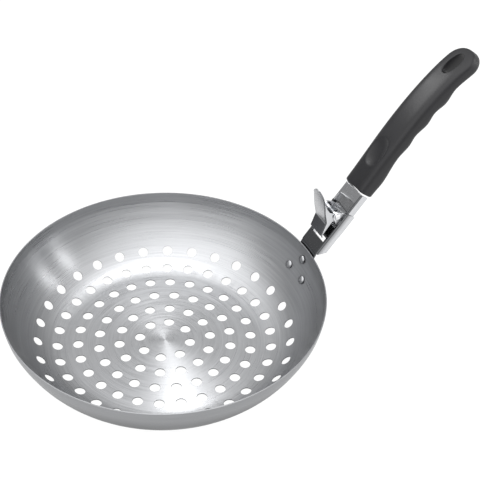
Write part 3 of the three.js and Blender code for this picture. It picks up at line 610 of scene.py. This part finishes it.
# Painted shade: a share over the top between the edges, and full along the right edge's top, where a
# shadowed gap is painted.
TOP_PAINTED_SHADE, TOP_PAINTED_SHADE_HALF, EDGE_PAINTED_SHADE_FROM, EDGE_PAINTED_SHADE_DOWN = 0.45, 12.7, 12.2, 1.1
EAR_SHEET, EAR_R, EAR_OUT = 1.1, 4.6, 10.9
EAR_FRONT, EAR_BACK = ((37.0, -3.2), (50.7, -3.2), (50.7, 1.2)), (37.2, -0.9)


def ridge(u, at):
    """Height of a low rounded ridge across the top: a bell curve along u."""
    return RIDGE_H * np.exp(-((u - at) / RIDGE_L) ** 2)


def floor_level(u, w):
    """Height of the pressed top at u and w.

    It is flush at the grip and steps down at STEP. The floor below leans down to the left, as far
    as TONGUE_STEP, where it steps down to the tongue. Each step's upper edge is a low ridge, and
    the first fades out to the right and the second to the left."""
    lean = np.clip(0.5 + w / LEAN_W, 0, 1)
    upper = np.clip((u - STEP + STEP_RISE) / STEP_RISE, 0, 1)
    lower = np.clip((TONGUE_STEP - u) / TONGUE_STEP_RISE, 0, 1)
    depth = lean * (1 - upper) * (1 - lower) + lower
    first = ridge(u, STEP + RIDGE_OFF) * np.clip(STEP_RIDGE_GAIN * lean - STEP_RIDGE_LOSS, 0, 1)
    second = ridge(u, TONGUE_STEP + RIDGE_OFF) * np.clip((TONGUE_RIDGE_TO - w) / TONGUE_RIDGE_FADE, 0, 1)
    return TONGUE_TOP * depth + first + second


def channel_mesh():
    """Rows run along u and columns across: walls, rounded edges and the stepped top between them.

    The columns near the edges stay flush and the others sink. The step is pressed slightly askew,
    so stations move along u with w. The top gets a share of painted shade, and the right edge full painted
    shade that stands in for a shadowed gap."""
    u = np.array(CHANNEL_STATIONS)
    w, v = mirrored(np.concatenate([
        [[CHANNEL_HALF, -CHANNEL_H], [CHANNEL_HALF, -1.6]],
        arc((CHANNEL_HALF - TOP_EDGE, -TOP_EDGE), TOP_EDGE, 0, 90, 5),
        [[place, 0.0] for place in CHANNEL_COLUMNS],
    ])).T
    painted_shade = np.where(np.abs(w) < TOP_PAINTED_SHADE_HALF, TOP_PAINTED_SHADE, 0.0)
    painted_shade = np.where((w < -EDGE_PAINTED_SHADE_FROM) & (v > -EDGE_PAINTED_SHADE_DOWN), 1.0, painted_shade)
    sink = np.interp(np.abs(w), *CHANNEL_SINK)
    v = v[None] + sink[None] * floor_level(u[:, None], w[None])
    skew = STEP_SKEW * np.interp(u, *CHANNEL_SKEWED)
    points = on_handle(u[:, None] - skew[:, None] * w[None], v, w[None])
    return points.reshape(-1, 3), grid_faces(len(u), len(w)), np.repeat(painted_shade[None], len(u), 0)


def tongue_mesh():
    """Rows run along u and columns across: two side walls and the top with its window.

    Between the window's edges the top climbs the second step, which is askew as the first is."""
    u = np.array(TONGUE_STATIONS)
    w, v = mirrored(np.concatenate([
        [[TONGUE_HALF, TONGUE_BOTTOM], [TONGUE_HALF, -6.0]],
        arc((TONGUE_HALF - TOP_EDGE, TONGUE_TOP - TOP_EDGE), TOP_EDGE, 0, 90, 5),
        [[WINDOW_HALF, TONGUE_TOP], [5.0, TONGUE_TOP], [0.0, TONGUE_TOP]],
    ])).T
    inner = np.abs(w) <= WINDOW_HALF
    rise = np.where(inner, floor_level(u[:, None], w[None]) - TONGUE_TOP, 0.0)
    skew = TONGUE_STEP_SKEW * np.interp(u, *TONGUE_SKEWED)
    points = on_handle(u[:, None] - skew[:, None] * w[None], v[None] + rise, w[None])
    keep = np.ones((len(u) - 1, len(w) - 1), bool)
    cut_cells(keep, u, 0, *WINDOW, inner[:-1] & inner[1:])
    # The top past the second step gets the same share of painted shade.
    painted_shade = np.where((u[:, None] > TONGUE_STEP + RIDGE_OFF + 0.1) & inner[None], TOP_PAINTED_SHADE, 0.0)
    return points.reshape(-1, 3), grid_faces(len(u), len(w), keep), painted_shade


def new_plate(name, outline, w, body, material, thickness, bevel):
    """A flat plate of sheet at w from an outline in u and v; its thickness grows inwards."""
    points = on_handle(outline[:, 0], outline[:, 1], w)
    face = range(len(outline))[::1 if w > 0 else -1]
    plate = new_piece(name, points, [face], body, "pressed_steel", material)
    add_sheet(plate, thickness, bevel)


channel = pressed_piece("channel_sheet", channel_mesh(), "handle", CHANNEL_SHEET, CHANNEL_BEVEL)
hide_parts("handle_channel")
pressed_piece("tongue_sheet", tongue_mesh(), "handle", CHANNEL_SHEET, CHANNEL_BEVEL)
ear_outline = np.concatenate([EAR_FRONT, arc((PIN_U, PIN_V), EAR_R, 35, 165, 24), [EAR_BACK]])
for label, ear_w in (("left", EAR_OUT), ("right", -EAR_OUT)):
    new_plate("ear_" + label, ear_outline, ear_w, "handle", STEEL_SATIN, EAR_SHEET, CHANNEL_BEVEL)

# The latch lever
# Bent from one sheet of steel: a tab over the slot, a leaf-shaped thumb plate, and two side flanges
# folded back round the pin, each with a toe that drops into the slot.

LEVER_HALF, LEVER_SHEET, LEVER_BEVEL = 9.4, 1.1, 0.2
BEND_U, BEND_V, BEND_L = 34.6, 10.6, 1.2
TAB_L, TAB_FALL = 14.3, math.radians(19.5)
THUMB_L, THUMB_RISE, THUMB_DROOP = 37.6, math.radians(50.5), math.radians(3)
DROOP_FROM, DROOP_L, LEAN_FROM, LEAN_L = 8.0, 34.0, 4.0, 28.0  # where the droop and the lean come in
TIP_START, TIP_LEAN, FOLD_END = 30.0, 3.0, 27.0
THUMB_HALF = ((0.0, 20.0, TIP_START), (9.5, 10.3, 9.9))  # places along the plate, and half widths
LEVER_COLUMNS = np.array([1.0, 0.97, 0.93, 0.7, 0.4, 0.0, -0.4, -0.7, -0.82, -0.93, -0.97, -1.0])
# Painted shade: shares across the plate towards its right edge, along its face, and full on the tab up to
# the place below.
LEVER_EDGE_PAINTED_SHADE = ((-1.0, -0.97, -0.93, -0.82, -0.7), (1.0, 0.8, 0.45, 0.2, 0.0))
LEVER_FACE_PAINTED_SHADE = ((0.0, 12.0, 30.0), (0.4, 0.25, 0.1))
TAB_PAINTED_SHADE_END = -0.9
TOE = ((19.0, 2.2), (19.7, 2.2), (20.4, 4.4), (22.8, 4.6), (38.0, 5.4))
NECK = ((45.6, 12.5), (45.4, 15.5), (47.3, 20.8), (50.2, 26.0))


def lever_rows():
    """Distance s along the lever from its bend, with u, v and slope: the curve is a running sum.

    The slope turns from the tab's to the plate's round the bend, then droops a little."""
    s = np.concatenate([
        np.linspace(-TAB_L, -1.6, 9), np.linspace(-BEND_L, BEND_L, 7), np.linspace(2.2, TIP_START, 18),
        TIP_START + (THUMB_L - TIP_START) * np.sin(np.linspace(0.1, 0.93, 12) * math.pi / 2),
    ])
    slope = TAB_FALL + (THUMB_RISE - TAB_FALL) * smooth_step((s + BEND_L) / (2 * BEND_L))
    slope = slope - THUMB_DROOP * smooth_step((s - DROOP_FROM) / DROOP_L)
    middle = (slope[1:] + slope[:-1]) / 2
    u = np.concatenate([[0.0], np.cumsum(np.diff(s) * np.cos(middle))])
    v = np.concatenate([[0.0], np.cumsum(np.diff(s) * np.sin(middle))])
    return s, u + BEND_U - TAB_L * math.cos(TAB_FALL), v + BEND_V - TAB_L * math.sin(TAB_FALL), slope


def lever_mesh():
    """Rows run up the tab and the thumb plate, columns across.

    The tip's half width is an ellipse's, and the plate leans to the right by a smooth step. The
    tab and the plate's right edge get painted shade, and the plate's face a share that fades towards the
    tip."""
    s, u, v, _ = lever_rows()
    past = np.clip((s - TIP_START) / (THUMB_L - TIP_START), 0, 1)
    half = np.interp(s, *THUMB_HALF) * np.sqrt(1 - past ** 2)
    w = half[:, None] * LEVER_COLUMNS - TIP_LEAN * smooth_step((s[:, None] - LEAN_FROM) / LEAN_L)
    points = on_handle(u[:, None], v[:, None], w)
    plate_painted_shade = np.maximum(np.interp(LEVER_COLUMNS, *LEVER_EDGE_PAINTED_SHADE)[None], np.interp(s, *LEVER_FACE_PAINTED_SHADE)[:, None])
    painted_shade = np.where(s[:, None] < TAB_PAINTED_SHADE_END, 1.0, plate_painted_shade)
    return points.reshape(-1, 3), grid_faces(len(s), len(LEVER_COLUMNS)), painted_shade


def flange_outline():
    """A flange's outline in u and v: along the fold, then round the toe, the boss and the neck."""
    s, u, v, slope = lever_rows()
    half_sheet = LEVER_SHEET / 2
    fold = np.stack([u + half_sheet * np.sin(slope), v - half_sheet * np.cos(slope)], 1)[s <= FOLD_END]
    return np.concatenate([fold[::-1], TOE, arc((PIN_U, PIN_V), EAR_R, 230, 430, 30), NECK])


lever = pressed_piece("lever_sheet", lever_mesh(), "latch", LEVER_SHEET, LEVER_BEVEL)
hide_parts("latch_lever")
for label, flange_w in (("left", LEVER_HALF), ("right", -LEVER_HALF)):
    name = "lever_flange_" + label
    new_plate(name, flange_outline(), flange_w, "latch", STEEL_PRESSED, LEVER_SHEET, LEVER_BEVEL)

# The latch spring
# A torsion spring of round steel wire, wound on the pin. One leg runs out over the tongue and the
# other runs back under the tab.

SPRING_R, WIRE_R, SPRING_TURNS, SPRING_PITCH, SPRING_EXTRA = 3.15, 0.45, 5, 1.5, 0.3
WIRE_SIDES, TURN_STEPS = 12, 32
TONGUE_LEG, TAB_LEG = np.array([4.8, -0.45, 0.0]), 8.0
STEEL_SPRING = pressed_steel("spring_steel", light="8d9094", dark="74777b", rough=(0.22, 0.32))


def rod_faces(rings, sides):
    """Faces of a rod made of rings of points: its skin and its two flat ends."""
    count = rings * sides
    return [*grid_faces(rings, sides, wrap=True), range(sides)[::-1], range(count - sides, count)]


def spring_mesh():
    """A round tube along a helix about w and its two straight legs.

    Each ring of the tube stands square to the path. The last leg leaves along the helix's tangent."""
    steps = np.linspace(0, 1, SPRING_TURNS * TURN_STEPS + 1)
    turns = -math.pi / 2 - (2 * math.pi * SPRING_TURNS + SPRING_EXTRA) * steps
    coil = np.stack([
        PIN_U + SPRING_R * np.cos(turns), PIN_V + SPRING_R * np.sin(turns),
        SPRING_PITCH * SPRING_TURNS * (steps - 0.5),
    ], 1)
    tangent = np.array([math.sin(turns[-1]), -math.cos(turns[-1]), 0.0])
    leg_in = coil[0] + np.linspace(1, 0, 8)[:-1, None] * TONGUE_LEG
    leg_out = coil[-1] + np.linspace(0, 1, 10)[1:, None] * TAB_LEG * tangent
    path = np.concatenate([leg_in, coil, leg_out])
    ahead = np.gradient(path, axis=0)
    ahead /= np.linalg.norm(ahead, axis=1, keepdims=True)
    side = np.cross([0.0, 0.0, 1.0], ahead)
    side /= np.linalg.norm(side, axis=1, keepdims=True)
    up = np.cross(ahead, side)
    turn = 2 * math.pi * np.arange(WIRE_SIDES)[None, :, None] / WIRE_SIDES
    wire = path[:, None] + WIRE_R * (side[:, None] * np.cos(turn) + up[:, None] * np.sin(turn))
    return on_handle(*wire.reshape(-1, 3).T), rod_faces(len(path), WIRE_SIDES)


spring = new_piece("spring_wire", *spring_mesh(), "handle", "spring_steel", STEEL_SPRING)
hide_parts("latch_spring")

# The grip
# An arched bar of black plastic, moulded round the channel's tang. It has finger waves underneath, a
# thumb dimple on top and an oval hang hole near the tail.

GRIP_START, GRIP_MIDDLE, GRIP_END = 76.0, 150.0, 241.5
GRIP_HALF, MOUTH_HALF, MOUTH_ROUND, TAIL_ROUND = 15.6, 14.6, 1.6, 16.0
GRIP_TOP, MOUTH_FALL, TAIL_FALL = -0.7, 3.3, 12.8  # the middle line's height, and its fall to each end
MOUTH_POWER, GRIP_POWER = 4.5, 3.7
ABOVE = ((GRIP_START, 8.8), (92, 8.25), (GRIP_MIDDLE, 8.35), (198, 8.9), (212, 8.8), (GRIP_END, 6.4))
BELOW = (
    (GRIP_START, 9.8), (97, 12.6), (124, 8.9), (138.5, 11.1), (149.5, 8.9), (164.5, 12.6),
    (177.5, 9.4), (190, 12.5), (207, 7.4), (228, 10.3), (GRIP_END, 8.4),
)
HOLE_U, HOLE_L, HOLE_W, HOLE_ROUND, HOLE_FADE = 222.7, 23.6, 12.0, 1.4, 2.5
DIMPLE_U, DIMPLE_L, DIMPLE_W, DIMPLE_D = 115.5, 37.0, 25.0, 2.6
MOUTH_BACK, MOUTH_BACK_FROM, MOUTH_BACK_W, MOUTH_FADE = 1.3, 8.0, 14.0, 9.0
GRIP_COLUMNS, OUTLINE_STEPS, COLUMN_SHIFT = 72, 721, 0.11


def grip_plastic():
    """Black moulded plastic with a fine even grain; faint clouds mix two blacks and two glosses."""
    material, tree, shader = new_material("grip_plastic")
    place = add_node(tree, "TexCoord").outputs["Object"]
    grain = noise(tree, place, scale=2600.0, detail=2.0)
    clouds = noise(tree, place, scale=45.0, detail=3.0)
    set_inputs(
        tree, shader, Base_Color=mixed(tree, clouds, linear("111113"), linear("18181b")),
        Roughness=mapped(tree, clouds, (0.3, 0.7), (0.36, 0.44)), Specular_IOR_Level=0.36,
        Normal=relief(tree, grain, strength=0.25, distance=0.00006))
    return material


def eased(places, u):
    """A value between listed places along the grip, easing in and out of each."""
    at, value = np.array(places, float).T
    next_at = np.clip(np.searchsorted(at, u), 1, len(at) - 1)
    share = smooth_step((u - at[next_at - 1]) / (at[next_at] - at[next_at - 1]))
    return value[next_at - 1] + share * (value[next_at] - value[next_at - 1])


def grip_section(u):
    """Middle height, half width, height above, depth below and power of the superellipse at u.

    The middle line falls by the square of the way to each end. A quarter circle rounds the mouth,
    and powers of the way into the last stretch round the tail."""
    mouth = np.clip((GRIP_MIDDLE - u) / (GRIP_MIDDLE - GRIP_START), 0, None)
    tail = np.clip((u - GRIP_MIDDLE) / (GRIP_END - GRIP_MIDDLE), 0, None)
    middle = GRIP_TOP - MOUTH_FALL * mouth ** 2 - TAIL_FALL * tail ** 2
    end = np.clip((u - GRIP_END + TAIL_ROUND) / TAIL_ROUND, 0, 1)
    start = np.clip((GRIP_START + MOUTH_ROUND - u) / MOUTH_ROUND, 0, 1)
    shrink = MOUTH_ROUND * (1 - np.sqrt(1 - start ** 2))
    half_w = MOUTH_HALF + (GRIP_HALF - MOUTH_HALF) * smooth_step(1 - mouth)
    half_w = (half_w - shrink) * np.sqrt(np.maximum(1 - end ** 2.2, 0))
    close = np.maximum(1 - end ** 6, 0) ** 0.25
    power = MOUTH_POWER + (GRIP_POWER - MOUTH_POWER) * smooth_step(2 * (1 - mouth))
    return middle, half_w, (eased(ABOVE, u) - shrink) * close, (eased(BELOW, u) - shrink) * close, power


def mouth_edge(w):
    """How far the plastic's edge at the mouth is moulded back: a smooth step, to the right side."""
    return MOUTH_BACK * smooth_step((MOUTH_BACK_FROM - w) / MOUTH_BACK_W)


def hole_half(u):
    """Half width of the oval hole: an ellipse's."""
    return HOLE_W / 2 * np.sqrt(np.clip(1 - ((u - HOLE_U) / (HOLE_L / 2)) ** 2, 0, None))


def grip_rows():
    """Places along the grip: close together at the mouth, the ends of the hole and the tail."""
    hole_from, hole_to = HOLE_U - HOLE_L / 2, HOLE_U + HOLE_L / 2
    return np.concatenate([
        GRIP_START + MOUTH_ROUND * (1 - np.cos(np.linspace(0, math.pi / 2, 7)))[:-1],
        np.linspace(GRIP_START + MOUTH_ROUND, hole_from, 132)[:-1],
        hole_from + (hole_to - hole_from) * (1 - np.cos(np.linspace(0, math.pi, 41))) / 2,
        hole_to + (GRIP_END - 0.05 - hole_to) * np.sin(np.linspace(0, math.pi / 2, 16))[1:],
    ])


def half_outlines(half_w, up, down, power, hole):
    """Half sections at each place, from the hole's top edge, or the middle, round to the bottom.

    A superellipse is sampled finely, cut off at the hole and resampled by length, with the columns
    drawn a little towards its ends."""
    turn = np.linspace(math.pi / 2, -math.pi / 2, OUTLINE_STEPS)
    lift = 2 / power[:, None]
    w = half_w[:, None] * np.abs(np.cos(turn)) ** lift
    rise = np.sign(np.sin(turn)) * np.abs(np.sin(turn)) ** lift
    v = np.where(rise > 0, up[:, None], down[:, None]) * rise
    widest = OUTLINE_STEPS // 2
    ease = np.linspace(0, 1, GRIP_COLUMNS)
    ease = ease - COLUMN_SHIFT * np.sin(2 * math.pi * ease)
    rows_w, rows_v = [], []
    for row_w, row_v, edge in zip(w, v, hole):
        beyond = row_w >= edge
        top = np.interp(edge, row_w[:widest + 1], row_v[:widest + 1])
        bottom = np.interp(edge, row_w[widest:][::-1], row_v[widest:][::-1])
        cut_w = np.concatenate([[edge], row_w[beyond], [edge]])
        cut_v = np.concatenate([[top], row_v[beyond], [bottom]])
        length = np.concatenate([[0], np.cumsum(np.hypot(np.diff(cut_w), np.diff(cut_v)))])
        rows_w.append(np.interp(ease * length[-1], length, cut_w))
        rows_v.append(np.interp(ease * length[-1], length, cut_v))
    return np.stack(rows_w), np.stack(rows_v)


def grip_mesh():
    """Two mirrored halves of half sections, joined along the middle, round the hole and at the ends.

    The dimple lowers the top to an ellipsoid, a quarter circle rounds the edges of the hole, and the
    mouth's edge moves the first rows back."""
    u = grip_rows()
    middle, half_w, up, down, power = grip_section(u)
    hole = hole_half(u)
    w, v = half_outlines(half_w, up, down, power, hole)
    ball = 1 - ((u[:, None] - DIMPLE_U) / (DIMPLE_L / 2)) ** 2 - (w / (DIMPLE_W / 2)) ** 2
    ball_top = np.interp(DIMPLE_U, u, up) + DIMPLE_D + np.interp(DIMPLE_U, u, middle) - middle[:, None]
    dent = ball_top - 2 * DIMPLE_D * np.sqrt(np.maximum(ball, 0))
    v = np.where((ball > 0) & (v > 0), np.minimum(v, dent), v)
    near = np.clip(1 - (w - hole[:, None]) / HOLE_ROUND, 0, 1)
    deep = np.where(hole[:, None] > 0, HOLE_ROUND * (1 - np.sqrt(1 - near ** 2)), 0.0)
    v = v - np.sign(v) * deep * smooth_step(hole / HOLE_FADE)[:, None] + middle[:, None]
    fade = smooth_step((GRIP_START + MOUTH_FADE - u[:, None]) / MOUTH_FADE)
    right = on_handle(u[:, None] + fade * mouth_edge(-w), v, -w).reshape(-1, 3)
    left = on_handle(u[:, None] + fade * mouth_edge(w), v, w).reshape(-1, 3)
    quads = grid_faces(len(u), GRIP_COLUMNS)
    faces = [*quads, *(quads[:, ::-1] + len(right))]
    for base in (0, len(right)):
        for k in np.nonzero((hole[:-1] > 0) | (hole[1:] > 0))[0]:
            a, b = base + k * GRIP_COLUMNS, base + (k + 1) * GRIP_COLUMNS
            faces.append((a, b, b + GRIP_COLUMNS - 1, a + GRIP_COLUMNS - 1))
    for k in (0, len(u) - 1):
        loop = [k * GRIP_COLUMNS + j for j in range(GRIP_COLUMNS)]
        faces.append(loop + [len(right) + i for i in loop[::-1]])
    return np.concatenate([right, left]), faces


GRIP_PLASTIC = grip_plastic()
grip = new_piece("grip_moulding", *grip_mesh(), "handle", "grip_plastic", GRIP_PLASTIC, sharp=35, weld=0.005)
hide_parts("grip")

# The mouth bead
# A thin bead of steel across the channel's top, just before the plastic's edge, pressed up from it.

BEAD_R, BEAD_SIDES, BEAD_HALF, BEAD_BEFORE, BEAD_V = 0.3, 10, 13.0, 1.7, 0.2


def bead_mesh():
    """A thin round rod across the channel that follows the plastic's edge: upright rings along w."""
    across = np.linspace(BEAD_HALF, -BEAD_HALF, 40)
    turn = 2 * math.pi * np.arange(BEAD_SIDES) / BEAD_SIDES
    u = (GRIP_START - BEAD_BEFORE + mouth_edge(across))[:, None] + BEAD_R * np.cos(turn)
    points = on_handle(u, BEAD_V + BEAD_R * np.sin(turn), across[:, None])
    return points.reshape(-1, 3), rod_faces(len(across), BEAD_SIDES)


new_piece("mouth_bead", *bead_mesh(), "handle", "pressed_steel", STEEL_SATIN)

# The floor, light and camera
# A plain pale floor, a soft sky whose brightness changes with direction, three soft lamps and the
# photograph's view.

FLOOR_SIZE, FLOOR_Z, FLOOR_GLOW = 30, -0.0002, 0.96
SKY_LEFT, SKY_FAR, SKY_RIGHT = (-0.788, -0.616, 0.0), (-0.73, 0.68, 0.0), (0.966, -0.259, 0.0)
SKY_LEVEL, SKY_RISE, SKY_LEFT_GAIN, SKY_LEAST = 0.4, 2.1, 0.6, 0.12
LAMP_R, LAMP_Z, LAMP_AIM = 1.5, 0.55, (-0.13, 0.0, 0.05)  # the two tall lamps: round z, and aim
CAMERA_TURN, CAMERA_FALL, CAMERA_ROLL = -27.8, 39.85, 2.2155
CAMERA_PLACE = (-0.3146, -0.7424, 0.7988)
FOCAL_PX, FRAME_PX, SENSOR = 1180.54, 480, 36

bpy.context.scene.view_settings.view_transform = "Standard"

bpy.ops.mesh.primitive_plane_add(size=FLOOR_SIZE, location=(0, 0, FLOOR_Z))
ground = bpy.context.object
ground.name = "floor"
floor_material, tree, shader = new_material("floor")
set_inputs(
    tree, shader, Base_Color=linear("404040"), Roughness=0.9, Emission_Color=linear("ffffff"),
    Emission_Strength=FLOOR_GLOW)
ground.data.materials.append(floor_material)

world = bpy.data.worlds.new("studio")
bpy.context.scene.world = world
world.use_nodes = True
tree = world.node_tree
way = add_node(tree, "TexCoord").outputs["Generated"]
height = add_node(tree, "SeparateXYZ", i0=way).outputs[2]
left, far, right = (
    vector_maths(tree, "DOT_PRODUCT", "Value", i0=way, i1=direction)
    for direction in (SKY_LEFT, SKY_FAR, SKY_RIGHT))
rise = maths(tree, "ADD", SKY_LEVEL, maths(tree, "MULTIPLY", height, SKY_RISE))
light = maths(tree, "MULTIPLY", rise, maths(tree, "ADD", 1.0, maths(tree, "MULTIPLY", left, SKY_LEFT_GAIN)))
light = maths(tree, "MAXIMUM", light, SKY_LEAST)
light = maths(tree, "ADD", light, mapped(tree, right, (0.75, 1.0), (0.0, 0.35)))
light = maths(tree, "MULTIPLY", light, mapped(tree, far, (0.6, 1.0), (1.0, 0.4)))
set_inputs(tree, tree.nodes["Background"], Color=linear("ffffff"), Strength=light)


def soft_light(name, place, target, size, power):
    """A rectangular area light that looks at a target and isn't seen itself."""
    data = bpy.data.lights.new(name, "AREA")
    data.shape = "RECTANGLE"
    data.size, data.size_y = size
    data.energy = power
    lamp = bpy.data.objects.new(name, data)
    bpy.context.scene.collection.objects.link(lamp)
    aim = np.asarray(target, float) - np.asarray(place, float)
    dip = math.acos(-aim[2] / np.linalg.norm(aim))
    lamp.location = place
    lamp.rotation_euler = (dip, 0, math.atan2(aim[1], aim[0]) - math.pi / 2)
    lamp.visible_camera = False


soft_light("back", place=(0.108, 0.182, 0.385), target=(0.27, 0, 0.21), size=(0.12, 0.1), power=0.36)
for name, azimuth in (("window_near", -11), ("window_far", -31)):
    turn = math.radians(azimuth)
    stand_at = (LAMP_R * math.cos(turn), LAMP_R * math.sin(turn), LAMP_Z)
    soft_light(name, place=stand_at, target=LAMP_AIM, size=(0.12, 0.8), power=1.9)

camera_data = bpy.data.cameras.new("camera")
camera_data.sensor_width = SENSOR
camera_data.lens = FOCAL_PX / FRAME_PX * SENSOR
camera = bpy.data.objects.new("camera", camera_data)
bpy.context.scene.collection.objects.link(camera)
stand = Matrix.Translation(CAMERA_PLACE)
for axis, degrees in (("Z", CAMERA_TURN), ("X", 90 - CAMERA_FALL), ("Z", CAMERA_ROLL)):
    stand = stand @ Matrix.Rotation(math.radians(degrees), 4, axis)
camera.matrix_world = stand
bpy.context.scene.camera = camera
